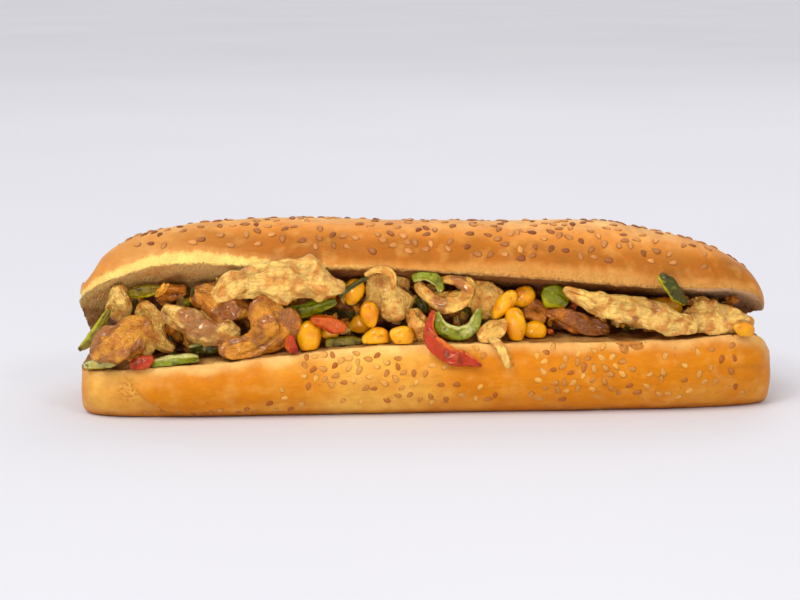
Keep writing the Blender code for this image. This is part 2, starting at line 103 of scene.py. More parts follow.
def colour(red, green, blue):
    """Linear colour from screen values of 0 to 255."""
    return Vector([((value / 255 + 0.055) / 1.055) ** 2.4 for value in (red, green, blue)])


def tub_outline(x):
    """Crust of the lower half at x, from the front cut edge, underneath, to the back cut edge."""
    height = along(CUT_LINE, x)
    width = plan(x, HALF_LENGTH, 6)
    inset = max(0.0, abs(x) - (HALF_LENGTH - END_CORNER)) / END_CORNER
    lift = END_CORNER * (1 - math.sqrt(max(0.0, 1 - inset**2)))
    points = []
    for step in range(OUTLINE_STEPS + 1):
        turn = math.pi * step / OUTLINE_STEPS
        across = -signed_power(math.cos(turn), 2 / TUB_POWER)
        depth = abs(math.sin(turn)) ** (2 / TUB_POWER)
        z = max(lift, height - (height + UNDERSIDE_FLAT) * depth)
        swell = SIDE_BULGE * math.sin(math.pi * (1 - z / height) ** 0.9)
        if 0 < step < OUTLINE_STEPS:
            swell += 0.5 * noise.noise(Vector((x / 34, 40 * across / 19, z / 17)))
        points.append(Vector((x, across * (CUT_HALF_WIDTH + swell) * width, z)))
    return points


def chain_ring(chain, crust_steps, face_steps, front_first):
    """Even points along the crust and back over the cut face, each with its distance from the front edge."""
    lengths = [0.0]
    for a, b in zip(chain, chain[1:]):
        lengths.append(lengths[-1] + (b - a).length)
    total = lengths[-1]
    ring = []
    index = 0
    for step in range(crust_steps):
        reach = total * step / (crust_steps - 1)
        while index < len(lengths) - 2 and lengths[index + 1] < reach:
            index += 1
        share = (reach - lengths[index]) / max(1e-9, lengths[index + 1] - lengths[index])
        point = chain[index].lerp(chain[index + 1], min(1.0, share))
        ring.append((point, reach if front_first else total - reach))
    across = (chain[0] - chain[-1]).length
    for step in range(1, face_steps + 1):
        share = step / (face_steps + 1)
        inward = across * (1 - share if front_first else share)
        ring.append((chain[-1].lerp(chain[0], share), -inward))
    return ring


def laid_ball(around, rows):
    """Ball with its poles on X, and each point's row along X and number round it."""
    mesh = bmesh.new()
    lying = Matrix.Rotation(math.pi / 2, 4, "Y")
    bmesh.ops.create_uvsphere(mesh, u_segments=around, v_segments=rows, radius=1, matrix=lying)
    spots = []
    for vertex in mesh.verts:
        row = round(math.acos(max(-1.0, min(1.0, -vertex.co.x))) / math.pi * rows)
        index = round(math.atan2(vertex.co.y, -vertex.co.z) / (2 * math.pi) * around) % around
        spots.append((row, index))
    return mesh, spots


def bread(name, outline, middle_x, half_length, steps, front_first, relief, tone):
    """Half a roll: a ball laid along X whose rings are drawn out to the outline, then lifted and coloured."""
    crust_steps, face_steps = steps
    mesh, spots = laid_ball(crust_steps + face_steps, CRUST_ROWS)
    tones = mesh.verts.layers.float_color.new("tone")
    crumbs = mesh.verts.layers.float.new("crumb")
    rings = {}
    arcs = {}
    for vertex, (row, index) in zip(mesh.verts, spots):
        if row not in rings:
            share = 2 * row / CRUST_ROWS - 1
            x = middle_x + half_length * math.copysign(1 - (1 - abs(share)) ** ROW_CROWDING, share)
            rings[row] = chain_ring(outline(x), crust_steps, face_steps, front_first)
        if row in (0, CRUST_ROWS):
            middle = sum((point for point, _ in rings[row]), Vector()) / len(rings[row])
            vertex.co, arcs[vertex] = middle, POLE_ARC
        else:
            vertex.co, arcs[vertex] = rings[row][index]
    bmesh.ops.recalc_face_normals(mesh, faces=mesh.faces)
    mesh.normal_update()
    lifts = {vertex: vertex.normal * relief(vertex.co, arcs[vertex]) for vertex in mesh.verts}
    for vertex in mesh.verts:
        paint, crumb = tone(vertex.co, arcs[vertex])
        vertex[tones] = (*paint, 1)
        vertex[crumbs] = crumb
        place = vertex.co + lifts[vertex]
        vertex.co = Vector((place.x, place.y, max(0.0, place.z))) * MM
    return object_from(name, mesh)


def object_from(name, mesh):
    """Linked object from a bmesh, shaded smooth."""
    data = bpy.data.meshes.new(name)
    mesh.to_mesh(data)
    mesh.free()
    data.shade_smooth()
    piece = bpy.data.objects.new(name, data)
    bpy.context.scene.collection.objects.link(piece)
    return piece


def fold_side(x, z):
    """How far a point of the front lies to the left of the folded dough's edge, in mm."""
    for (x0, z0), (x1, z1) in zip(FOLD_LINE, FOLD_LINE[1:]):
        if z <= z0 and z >= z1:
            return x0 + (x1 - x0) * (z0 - z) / (z0 - z1) - x
    return FOLD_LINE[0][0] - x if z > FOLD_LINE[0][1] else FOLD_LINE[-1][0] - x


def lower_relief(place, arc):
    """Height in mm of the lower half's lumps, seam and torn edge."""
    if arc < 0:
        return 0.5 * cloud(place, 5) + 0.35 * cloud(place, 2, 9)
    rise = 0.35 * cloud(place, 11, 5) + 0.12 * cloud(place, 4, 2)
    if place.y < -20 and place.z > 0.6:
        side = fold_side(place.x, place.z)
        rise -= 0.75 * smooth(side, -0.4, 0.5) * (1 - smooth(side, 3, 16))
        ear = smooth(place.x, 86, 96) * (1 - smooth(place.x, 114, 119))
        edge = 17.5 - 0.12 * (place.x - 92)
        rise += 0.7 * ear * smooth(place.z, edge - 0.5, edge + 0.7)
    return rise * smooth(place.z, 0.0, 1.5)


PALENESS = [
    (-120, 0.75), (-104, 0.7), (-90, 0.3), (-76, 0.12), (-58, 0.16), (-42, 0.45), (-28, 0.85), (-6, 0.75),
    (8, 0.3), (24, 0.02), (50, 0.0), (80, 0.06), (104, 0.2), (118, 0.3),
]


def lower_tone(place, arc):
    """Colour and crumb share of a point of the lower half."""
    if arc < 0:
        bare = colour(232, 172, 92).lerp(colour(206, 136, 60), smooth(cloud(place, 6), -0.2, 0.6))
        soaked = smooth(cloud(place, 8, 13) - 0.05 * arc, 0.1, 0.6)
        return bare.lerp(colour(150, 84, 30), 0.8 * soaked), 1.0
    mottling = cloud(place, 19, 4) + 0.6 * cloud(place, 7, 1)
    light = along(PALENESS, place.x) + 0.3 * mottling - 0.22 * smooth(arc, 3, 8) * (1 - smooth(arc, 13, 19))
    paint = colour(212, 128, 0).lerp(colour(238, 186, 82), min(1.0, max(0.0, light)))
    streak = cloud((place.x, place.y, place.z * 0.4), 9, 8)
    pale_edge = 1 - smooth(arc + 2.2 * streak, 0.5, 4.5)
    paint = paint.lerp(colour(240, 200, 124), 0.75 * pale_edge)
    side = fold_side(place.x, place.z)
    left = smooth(side, -0.3, 0.4) if place.y < -20 else 0.0
    paint = paint.lerp(colour(238, 184, 88), 0.5 * left)
    spot = (Vector((place.x, place.z)) - Vector((-103, 10.5))).length
    speckles = smooth(noise.noise(Vector((place.x / 0.9, place.z / 0.9, 3))), 0.0, 0.3)
    paint = paint.lerp(colour(160, 84, 16), 0.75 * speckles * (1 - smooth(spot, 2.2, 5.5)))
    end = smooth(abs(place.x), 113, 119.5)
    paint = paint.lerp(colour(206, 128, 46), 0.6 * end)
    # Towards the bottom the crust is painted a deeper orange: partly its own baked colour, partly painted
    # shade warmed by light bounced up from below.
    low = 1 - smooth(place.z + 0.8 * cloud(place, 4, 6), 0.3, 3.4)
    paint = paint.lerp(colour(190, 106, 8), 0.75 * low)
    under = 1 - smooth(place.z, 0.05, 0.7)
    paint = paint.lerp(colour(150, 84, 24), under)
    return paint, 0.0


def started(name):
    """New material, with the colour of the piece's points, and its node tree and shader."""
    material = bpy.data.materials.new(name)
    material.use_nodes = True
    tree = material.node_tree
    return material, tree, tree.nodes["Principled BSDF"], carried(tree, "tone")["Color"]


def carried(tree, name):
    """What each point of the piece carries under this name."""
    reader = tree.nodes.new("ShaderNodeAttribute")
    reader.attribute_name = name
    return reader.outputs


def textured(tree, kind, source, scale, shift=0.0):
    """Texture of this kind over the places from the source, scaled by so much along each axis."""
    scaled = tree.nodes.new("ShaderNodeMapping")
    scaled.inputs["Scale"].default_value = scale
    scaled.inputs["Location"].default_value = (shift, shift, shift)
    tree.links.new(source, scaled.inputs["Vector"])
    texture = tree.nodes.new(kind)
    texture.inputs["Scale"].default_value = 1.0
    tree.links.new(scaled.outputs["Vector"], texture.inputs["Vector"])
    return texture


def patches(tree, size, low, high, detail=3.0, stretch=(1, 1, 1), shift=0.0):
    """Factor from 0 to 1 in cloudy patches of this size in mm."""
    place = tree.nodes.new("ShaderNodeTexCoord").outputs["Object"]
    scale = [1 / (MM * size * share) for share in stretch]
    clouds = textured(tree, "ShaderNodeTexNoise", place, scale, shift)
    clouds.inputs["Detail"].default_value = detail
    return ranged(tree, clouds.outputs["Fac"], low, high)


def cells(tree, size, low, high):
    """Factor that is 1 at the middle of scattered dots of this spacing in mm and 0 away from them."""
    place = tree.nodes.new("ShaderNodeTexCoord").outputs["Object"]
    dots = textured(tree, "ShaderNodeTexVoronoi", place, [1 / (MM * size)] * 3)
    return ranged(tree, dots.outputs["Distance"], high, low)


def ranged(tree, value, low, high):
    """The value spread from 0 to 1 between low and high."""
    spread = tree.nodes.new("ShaderNodeMapRange")
    spread.inputs["From Min"].default_value = low
    spread.inputs["From Max"].default_value = high
    tree.links.new(value, spread.inputs["Value"])
    return spread.outputs["Result"]


def reckoned(tree, operation, first, second):
    """Result of a sum on sockets or numbers."""
    sums = tree.nodes.new("ShaderNodeMath")
    sums.operation = operation
    for socket, value in zip(sums.inputs, (first, second)):
        if isinstance(value, (int, float)):
            socket.default_value = value
        else:
            tree.links.new(value, socket)
    return sums.outputs[0]


def mixed(tree, factor, first, second):
    """Colour between two, each a socket or a colour."""
    mixer = tree.nodes.new("ShaderNodeMix")
    mixer.data_type = "RGBA"
    for socket, value in ((mixer.inputs[0], factor), (mixer.inputs[6], first), (mixer.inputs[7], second)):
        if isinstance(value, (int, float)):
            socket.default_value = value
        elif isinstance(value, Vector):
            socket.default_value = (*value, 1)
        else:
            tree.links.new(value, socket)
    return mixer.outputs[2]


def tinted(tree, factor, share, first, second):
    """First colour, turned towards the second by this share of the factor."""
    return mixed(tree, reckoned(tree, "MULTIPLY", factor, share), first, second)


def bumped(tree, shader, height, distance):
    """Adds relief of this depth in mm to what the shader has."""
    bump = tree.nodes.new("ShaderNodeBump")
    bump.inputs["Distance"].default_value = distance * MM
    bump.inputs["Strength"].default_value = 1.0
    tree.links.new(height, bump.inputs["Height"])
    if shader.inputs["Normal"].is_linked:
        tree.links.new(shader.inputs["Normal"].links[0].from_socket, bump.inputs["Normal"])
    tree.links.new(bump.outputs["Normal"], shader.inputs["Normal"])


def set_on(shader, values):
    """Gives these sockets of the shader these constant values."""
    for socket, value in values.items():
        shader.inputs[socket].default_value = value


def bread_surface(name):
    """Baked crust with fine blisters, and open crumb where the roll is cut or torn."""
    material, tree, shader, tone = started(name)
    crumb = carried(tree, "crumb")["Fac"]
    mottled = tinted(tree, patches(tree, 3.2, 0.35, 0.7, 4), 0.25, tone, colour(190, 104, 14))
    clouded = tinted(tree, patches(tree, 9, 0.44, 0.64, 5, shift=7), 0.3, mottled, colour(190, 104, 8))
    pale = tinted(tree, patches(tree, 5, 0.52, 0.7, 5, shift=2), 0.2, clouded, colour(242, 192, 104))
    dark = tinted(tree, cells(tree, 5.3, 0.04, 0.09), 0.55, pale, colour(150, 84, 34))
    # Darker dots in the crumb are painted shade in its pores.
    pore_shade = tinted(tree, cells(tree, 1.7, 0.12, 0.34), 0.4, tone, colour(170, 108, 48))
    tree.links.new(mixed(tree, crumb, dark, pore_shade), shader.inputs["Base Color"])
    rough = reckoned(tree, "ADD", reckoned(tree, "MULTIPLY", crumb, 0.4), 0.42)
    tree.links.new(rough, shader.inputs["Roughness"])
    set_on(shader, {"Specular IOR Level": 0.15, "Subsurface Weight": 0.12, "Subsurface Scale": 0.0012,
                    "Subsurface Radius": (1.0, 0.5, 0.25)})
    wrinkles = patches(tree, 1.6, 0.3, 0.7, 4, (1.6, 1, 1))
    holes = patches(tree, 0.8, 0.35, 0.65, 4, shift=3.0)
    bumped(tree, shader, patches(tree, 4.5, 0.3, 0.7, 3, (2, 1, 1)), 0.35)
    bumped(tree, shader, wrinkles, 0.12)
    bumped(tree, shader, reckoned(tree, "MULTIPLY", holes, crumb), 0.9)
    return material


crust_surface = bread_surface("baked_bread")
lower = bread("roll_lower", tub_outline, 0.0, HALF_LENGTH, (134, 44), True, lower_relief, lower_tone)
lower.data.materials.append(crust_surface)
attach(lower, "root")
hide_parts("roll")

# Upper half of the roll: the same loaf's domed top, hinged at the back by an uncut strip of bread and
# tilted open. Its front edge is torn, with a cream band of crumb under the crust.
UPPER_HALF_LENGTH = 118.7
UPPER_MIDDLE_X = -1.6
HINGE_Y = 27.0
DOME_CENTRE = 29.0
DOME_HALF_WIDTH = 34.0
DOME_POWER = 2.7
THINNEST = 3.0
TOP_LINE = [
    (-120, 43), (-115, 48.5), (-112, 53), (-106, 57.2), (-96, 60.9), (-78, 63.8), (-61, 65), (-44, 65.5),
    (-9, 64.4), (26, 63.7), (61, 63.3), (75, 61), (89.5, 57.6), (100, 54), (107, 50), (113, 45), (118, 36),
]
TILT_LINE = [
    (-120, 27.5), (-109, 30.2), (-101, 31.9), (-90, 32.9), (-77, 32.4), (-61, 29.9), (-44, 27.3), (-27, 25.4),
    (7, 22.9), (41, 20.4), (75, 17.3), (106, 15.4), (120, 13),
]
TORN_BAND = [
    (-120, 2.6), (-104, 3.4), (-82, 4.6), (-66, 3.6), (-44, 1.6), (-26, 1.0), (4, 1.0), (16, 2.4), (30, 3.4),
    (52, 3.6), (64, 4.2), (80, 2.2), (100, 1.8), (116, 1.4),
]


def tilt(x):
    return math.radians(along(TILT_LINE, x))


def dome_outline(x):
    """Crust of the upper half at x, from the back edge over the top to the front lip."""
    angle = tilt(x)
    half_width = DOME_HALF_WIDTH * plan(x - UPPER_MIDDLE_X, UPPER_HALF_LENGTH, 8)
    reach = along(TOP_LINE, x) - along(CUT_LINE, x) - DOME_CENTRE * math.sin(angle)
    dual = DOME_POWER / (DOME_POWER - 1)
    rest = reach**dual - (half_width * math.sin(angle)) ** dual
    thickness = max(THINNEST, rest ** (1 / dual) / math.cos(angle)) if rest > 0 else THINNEST
    points = []
    for step in range(OUTLINE_STEPS + 1):
        turn = math.pi * step / OUTLINE_STEPS
        out = DOME_CENTRE - half_width * signed_power(math.cos(turn), 2 / DOME_POWER)
        up = thickness * math.sin(turn) ** (2 / DOME_POWER)
        if 0 < step < OUTLINE_STEPS:
            up += 0.5 * noise.noise(Vector((x / 34, out / 19, 60 / 17)))
        y = HINGE_Y - out * math.cos(angle) + up * math.sin(angle)
        z = along(CUT_LINE, x) + out * math.sin(angle) + up * math.cos(angle)
        points.append(Vector((x, y, z)))
    return points


def torn(place):
    """Height of the torn band at this place, ragged along the roll."""
    return along(TORN_BAND, place.x) + 1.1 * cloud((place.x, 0, 0), 3.2) + 0.5 * cloud((place.x, 4, 0), 1.1)


def upper_relief(place, arc):
    """Height in mm of the upper half's soft lumps, torn band and open crumb."""
    if arc < 0:
        near = 1 - smooth(-arc, 0, 4)
        lumps = 0.45 * cloud(place, 4) + 0.4 * cloud(place, 1.8, 9)
        return lumps - 0.4 * near * smooth(cloud(place, 2.4, 3), 0, 0.5)
    rise = 0.3 * cloud(place, 13, 5) + 0.1 * cloud(place, 4, 2)
    band = torn(place)
    step = smooth(arc, band - 0.5, band + 0.4)
    rise += 0.45 * step - 0.45 + (1 - step) * (0.2 * cloud(place, 1.8, 7) + 0.08 * cloud(place, 0.8, 7))
    if place.y < 0 and place.x > 80:
        crease = abs(place.x - 98 - 0.55 * (48 - place.z))
        rise -= 0.45 * (1 - smooth(crease, 0.2, 1.4)) * smooth(place.z, 38, 44)
    if 60 < place.x < 85:
        dent = abs(place.x - 73 + 0.8 * (place.z - 58))
        rise -= 0.35 * (1 - smooth(dent, 0.2, 1.6)) * smooth(place.z, 54, 58)
    return rise


def upper_tone(place, arc):
    """Colour and crumb share of a point of the upper half."""
    if arc < 0:
        bare = colour(255, 206, 128).lerp(colour(252, 184, 104), smooth(cloud(place, 6), -0.2, 0.6))
        # Across the middle of the length, the face is painted darker further in from the lip: partly sauce
        # stain, partly painted shade inside the mouth.
        middle = smooth(place.x, -54, -36) * (1 - smooth(place.x, 72, 88))
        stained_and_shaded = middle * smooth(1.4 * cloud(place, 4) - arc, 0.8, 3.0)
        soaked = smooth(cloud(place, 9, 12), -0.1, 0.5) * smooth(-arc, 3, 8)
        # The right end of the face is painted paler: painted light on crumb that lies in shade.
        bare = bare.lerp(colour(255, 208, 156), smooth(place.x, 76, 96))
        return bare.lerp(colour(140, 78, 30), max(0.92 * stained_and_shaded, 0.6 * soaked)), 1.0
    mottling = cloud(place, 17, 4) + 0.5 * cloud(place, 6, 1)
    paint = colour(236, 184, 108).lerp(colour(224, 160, 84), smooth(mottling, -0.5, 0.5))
    # Near the lip the crust is painted darker orange, partly its own colour and partly painted shade, and the
    # darker band closest to the lip is painted shade. Both are weaker at the left end, painted lighter where
    # the light falls from the left.
    front = 1 - smooth(arc + 4 * cloud(place, 14, 6), 12, 30)
    rightward = smooth(place.x, -112, -50)
    paint = paint.lerp(colour(206, 128, 42), (0.3 + 0.5 * rightward) * front)
    shade = 1 - smooth(arc + 2.5 * cloud(place, 8, 9), 9, 17)
    paint = paint.lerp(colour(150, 86, 10), (0.25 + 0.65 * rightward) * shade)
    end = smooth(abs(place.x - UPPER_MIDDLE_X), 106, 116)
    paint = paint.lerp(colour(214, 140, 58), 0.6 * end)
    band = torn(place)
    paint = paint.lerp(colour(226, 164, 84), 0.5 * (1 - smooth(arc, band, band + 3)))
    crumb = 1 - smooth(arc, band - 0.4, band + 0.3)
    # The torn crumb band is painted lighter at the left end, where the light falls, and darker towards the
    # middle and right.
    cream = colour(255, 224, 128).lerp(colour(206, 148, 74), smooth(place.x, -66, 0))
    return paint.lerp(cream, crumb), 0.35 * crumb


upper = bread("roll_upper", dome_outline, UPPER_MIDDLE_X, UPPER_HALF_LENGTH, (126, 52), False,
              upper_relief, upper_tone)
upper.data.materials.append(crust_surface)
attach(upper, "root")
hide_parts("roll")

# Sesame seeds: flat hulled seeds of about 3 mm, pressed into the dough before baking. Those on the top are
# toasted brown, those low on the front are paler and more sunk into the crust.
SEED_SIZE = (1.65, 1.02, 0.55)
SEED_SPACING = 2.7
LOWEST_SEED = 1.2
TRIES_PER_SEED = 60
TOP_SPANS = [((-112, 111), (16, 60), 300), ((-100, 100), (7, 18), 62), ((-40, 85), (6, 12), 16)]
FRONT_SPANS = [
    ((-44, -24), (1, 12), 22), ((-24, -8), (3, 15), 14), ((-6, 6), (6, 17), 5), ((12, 26), (1, 6), 4),
    ((36, 62), (1, 17), 32), ((62, 80), (4, 19), 12), ((80, 108), (3, 16), 10), ((-100, 112), (17.5, 21), 34),
    ((-60, -46), (1, 18), 3), ((-20, 100), (12, 18), 8), ((-110, 110), (92, 104), 26),
]


def point_at(chain, arc):
    """Point this far along a chain from its start."""
    for a, b in zip(chain, chain[1:]):
        if arc <= (b - a).length:
            return a.lerp(b, arc / (b - a).length)
        arc -= (b - a).length
    return chain[-1]


def joined(whole, small):
    """Adds a small mesh to a larger one, and frees the small one."""
    single = bpy.data.meshes.new("single")
    small.to_mesh(single)
    small.free()
    whole.from_mesh(single)
    bpy.data.meshes.remove(single)


def surface_of(piece):
    """Faces of a finished piece, to be searched for the nearest point or a hit."""
    corners = [vertex.co.copy() for vertex in piece.data.vertices]
    return BVHTree.FromPolygons(corners, [tuple(face.vertices) for face in piece.data.polygons])


def strewn(target, front_first, outline, spans, rng, placed, mesh, browns, sink):
    """Seeds strewn at random over spans of (x range, range of distances from the front edge, count)."""
    for (x_low, x_high), (arc_low, arc_high), count in spans:
        left = count
        for _ in range(TRIES_PER_SEED * count):
            if not left:
                break
            x = rng.uniform(x_low, x_high)
            arc = rng.uniform(arc_low, arc_high)
            spin = rng.gauss(0.3, 0.9)
            size = rng.uniform(0.86, 1.14)
            lean = rng.uniform(-0.16, 0.16)
            shade = rng.random()
            chain = outline(x)
            point = point_at(chain if front_first else chain[::-1], arc)
            hit, normal, _, _ = target.find_nearest(point * MM)
            middle = hit / MM
            if middle.z < LOWEST_SEED or any((middle - other).length < SEED_SPACING for other in placed):
                continue
            placed.append(middle)
            left -= 1
            side = Vector((1, 0, 0)).cross(normal).cross(normal).normalized()
            across = normal.cross(side)
            long_way = (side * math.cos(spin) + across * math.sin(spin) + lean * normal).normalized()
            wide_way = normal.cross(long_way).normalized()
            high_way = long_way.cross(wide_way)
            seed = bmesh.new()
            bmesh.ops.create_uvsphere(seed, u_segments=12, v_segments=9, radius=1)
            layer = seed.verts.layers.float_color.new("tone")
            dark, light = browns
            body = dark.lerp(light, shade)
            for vertex in seed.verts:
                u, v, w = vertex.co
                taper = (1 - 0.34 * u) * (1 - 0.22 * max(0.0, u) ** 3)
                rim = smooth(math.hypot(u, v), 0.72, 1.0)
                vertex[layer] = (*body.lerp(dark * 0.55, 0.7 * rim), 1)
                height = SEED_SIZE[2] * w * (1 - 0.25 * rim) - sink
                vertex.co = MM * (
                    middle
                    + size * (long_way * SEED_SIZE[0] * u + wide_way * SEED_SIZE[1] * v * taper)
                    + high_way * height * size
                )
            joined(mesh, seed)


seeds = bmesh.new()
seeds.verts.layers.float_color.new("tone")
lower_crust = surface_of(lower)
seed_rng = random.Random(11)
placed_seeds = []
toasted = (colour(126, 62, 18), colour(222, 152, 76))
golden = (colour(168, 86, 10), colour(238, 176, 80))
strewn(surface_of(upper), False, dome_outline, TOP_SPANS, seed_rng, placed_seeds, seeds, toasted, 0.05)
strewn(lower_crust, True, tub_outline, FRONT_SPANS, seed_rng, placed_seeds, seeds, golden, 0.2)
seed_piece = object_from("sesame_seeds", seeds)
seed_surface, tree, shader, tone = started("toasted_sesame")
streaked = tinted(tree, patches(tree, 0.9, 0.3, 0.75), 0.3, tone, colour(120, 62, 26))
tree.links.new(streaked, shader.inputs["Base Color"])
set_on(shader, {"Roughness": 0.34, "Specular IOR Level": 0.25})
bumped(tree, shader, patches(tree, 0.5, 0.3, 0.7), 0.06)
seed_piece.data.materials.append(seed_surface)
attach(seed_piece, "root")
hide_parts("roll")

# Packed filling behind the pieces that show: chopped chicken and pepper sunk in a dark glaze, piled from the
# hinge almost to the mouth. Its dark colour is partly the glaze and partly painted shade of the gaps between
# the pieces. Small chopped bits stand out of it.
BED_REACH = 38.5
BED_HALF_LENGTH = 114.0
BED_BACK = HINGE_Y - 8
BED_ROWS, BED_LEVELS = 300, 44


def bed_ring(x):
    """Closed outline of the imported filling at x: floor, lumpy front and roof."""
    angle = tilt(x)
    fill = plan(x, BED_HALF_LENGTH, 4)
    floor = along(CUT_LINE, x) + 0.2
    reach = BED_BACK - (BED_BACK - (HINGE_Y - BED_REACH)) * fill
    middle = (BED_BACK + reach) / 2
    points = [Vector((x, BED_BACK, floor)), Vector((x, middle, floor))]
    for level in range(BED_LEVELS):
        share = level / (BED_LEVELS - 1)
        belly = 2.5 * math.sin(math.pi * share)
        y = reach - belly * fill
        roof = (HINGE_Y - y) * math.tan(angle) - 0.4
        points.append(Vector((x, y, floor + roof * share)))
    for y in (middle, BED_BACK):
        points.append(Vector((x, y, floor + (HINGE_Y - y) * math.tan(angle) - 0.4)))
    return points


bed_mesh, bed_spots = laid_ball(BED_LEVELS + 4, BED_ROWS)
bed_tones = bed_mesh.verts.layers.float_color.new("tone")
bed_rings = {}
for vertex, (row, index) in zip(bed_mesh.verts, bed_spots):
    if row not in bed_rings:
        bed_rings[row] = bed_ring(BED_HALF_LENGTH * (2 * row / BED_ROWS - 1) * 0.999)
    if row in (0, BED_ROWS):
        place = sum(bed_rings[row], Vector()) / len(bed_rings[row])
    else:
        place = bed_rings[row][index]
    lump = 2.4 * cloud(place, 6) + 1.2 * cloud(place, 2.6, 5) + 0.4 * cloud(place, 1.2, 2)
    front = 1.0 if 1 < index < BED_LEVELS + 2 else 0.0
    paint = colour(136, 72, 20).lerp(colour(206, 134, 60), smooth(cloud(place, 5, 11), -0.2, 0.4))
    paint = paint.lerp(colour(96, 92, 16), smooth(cloud(place, 7, 21), 0.25, 0.5))
    # Recessed parts are painted darker and the lumps lighter: painted shade and light.
    paint = paint * (0.7 + 0.3 * smooth(lump, -2, 2))
    vertex[bed_tones] = (*paint, 1)
    vertex.co = MM * (place + Vector((0, -lump * front, 0)))
bmesh.ops.recalc_face_normals(bed_mesh, faces=bed_mesh.faces)
bed = object_from("packed_filling", bed_mesh)
bed_surface, tree, shader, tone = started("glazed_filling_painted_shade")
darkened = tinted(tree, patches(tree, 1.4, 0.4, 0.62), 0.6, tone, colour(92, 44, 12))
tree.links.new(darkened, shader.inputs["Base Color"])
set_on(shader, {"Roughness": 0.28, "Specular IOR Level": 0.5})
bumped(tree, shader, patches(tree, 1.1, 0.3, 0.7, 5), 0.5)
bed.data.materials.append(bed_surface)
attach(bed, "root")
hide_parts("filling_bed")

# Grilled chicken: breast meat cooked on a flat grill, torn by hand into strips and chunks and turned in a
# brown sauce. The torn faces are fibrous and pale, the outsides golden, and some edges are seared.
CLEARANCE = 0.5


def spine_at(spine, share):
    """Middle and half width at a share of the way along a piece."""
    place = share * (len(spine) - 1)
    index = min(int(place), len(spine) - 2)
    t = place - index
    knots = [spine[max(index - 1, 0)], spine[index], spine[index + 1], spine[min(index + 2, len(spine) - 1)]]
    result = []
    for a, b, c, d in zip(*knots):
        bend = (2 * a - 5 * b + 4 * c - d) * t**2 + (3 * b - a - 3 * c + d) * t**3
        result.append(0.5 * (2 * b + (c - a) * t + bend))
    return Vector(result[:3]), result[3]


def kept_in_mouth(point, outside):
    """Moves a point off the two cut faces, unless it belongs to a piece that hangs out of the mouth."""
    x, y, z = point
    cut = along(CUT_LINE, x)
    if y > -CUT_HALF_WIDTH - 1 and "front" not in outside:
        z = max(z, cut + CLEARANCE)
    if "lip" not in outside:
        angle = tilt(x)
        over = (y - HINGE_Y) * math.sin(angle) + (z - cut) * math.cos(angle) + CLEARANCE
        if over > 0:
            y -= over * math.sin(angle)
            z -= over * math.cos(angle)
    return Vector((x, y, z))


def strip(name, y, depth, spine, outside, form, paint):
    """Piece drawn out of a ball along its spine, coloured, and set as far forward as its node."""
    mesh, spots = laid_ball(form["sides"], form["steps"])
    tones = mesh.verts.layers.float_color.new("tone")
    wets = mesh.verts.layers.float.new("wet")
    threads = mesh.verts.layers.float_vector.new("thread")
    knots = [(x, rest[0] if rest else y, z, half) for x, z, half, *rest in spine]
    whole = sum((Vector(b[:3]) - Vector(a[:3])).length for a, b in zip(knots, knots[1:]))
    shift = sum(ord(letter) for letter in name) * 1.7
    frames = {}
    made = []
    for vertex, (row, _) in zip(mesh.verts, spots):
        if row not in frames:
            reach = row / form["steps"]
            middle, half = spine_at(knots, reach)
            ahead, behind = spine_at(knots, min(1, reach + 0.02)), spine_at(knots, max(0, reach - 0.02))
            way = (ahead[0] - behind[0]).normalized()
            across = Vector((0, 1, 0)).cross(way).normalized()
            frames[row] = (reach, middle, half, across, way.cross(across))
        reach, middle, half, across, deep = frames[row]
        ring = math.sin(math.pi * reach)
        size = ring ** form["bluntness"]
        turn = Vector((vertex.co.y, vertex.co.z)).normalized() if ring > 1e-4 else Vector((0, 0))
        lumps = noise.noise(Vector((middle.x / 9, 1.1 * turn.x, 1.1 * turn.y + middle.z / 9)))
        lumps += 0.3 * noise.noise(Vector((middle.x / 3.4, 2 * turn.x, 2 * turn.y + middle.z / 3.4)))
        bump = 1 + form["rough"] * lumps
        wide = signed_power(turn.x, form["square"]) * half * size * bump
        thick = signed_power(turn.y, form["square"]) * depth * size * bump
        point = middle + across * wide + deep * thick
        outward = across * turn.x + deep * turn.y
        made.append((point, outward, reach * whole, turn, reach, half * size))
    push = min(point.y for point, *_ in made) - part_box(name)[0].y / MM
    for vertex, (point, outward, length, turn, reach, width) in zip(mesh.verts, made):
        lift, tint, wet = paint(point, length, turn, reach, width, shift)
        moved = kept_in_mouth(point + outward * lift + Vector((0, -push, 0)), outside)
        vertex[tones] = (*tint, 1)
        vertex[wets] = wet
        vertex[threads] = (length, shift + turn.x * width, turn.y * width)
        vertex.co = moved * MM
    bmesh.ops.recalc_face_normals(mesh, faces=mesh.faces)
    return object_from(name + "_shown", mesh)


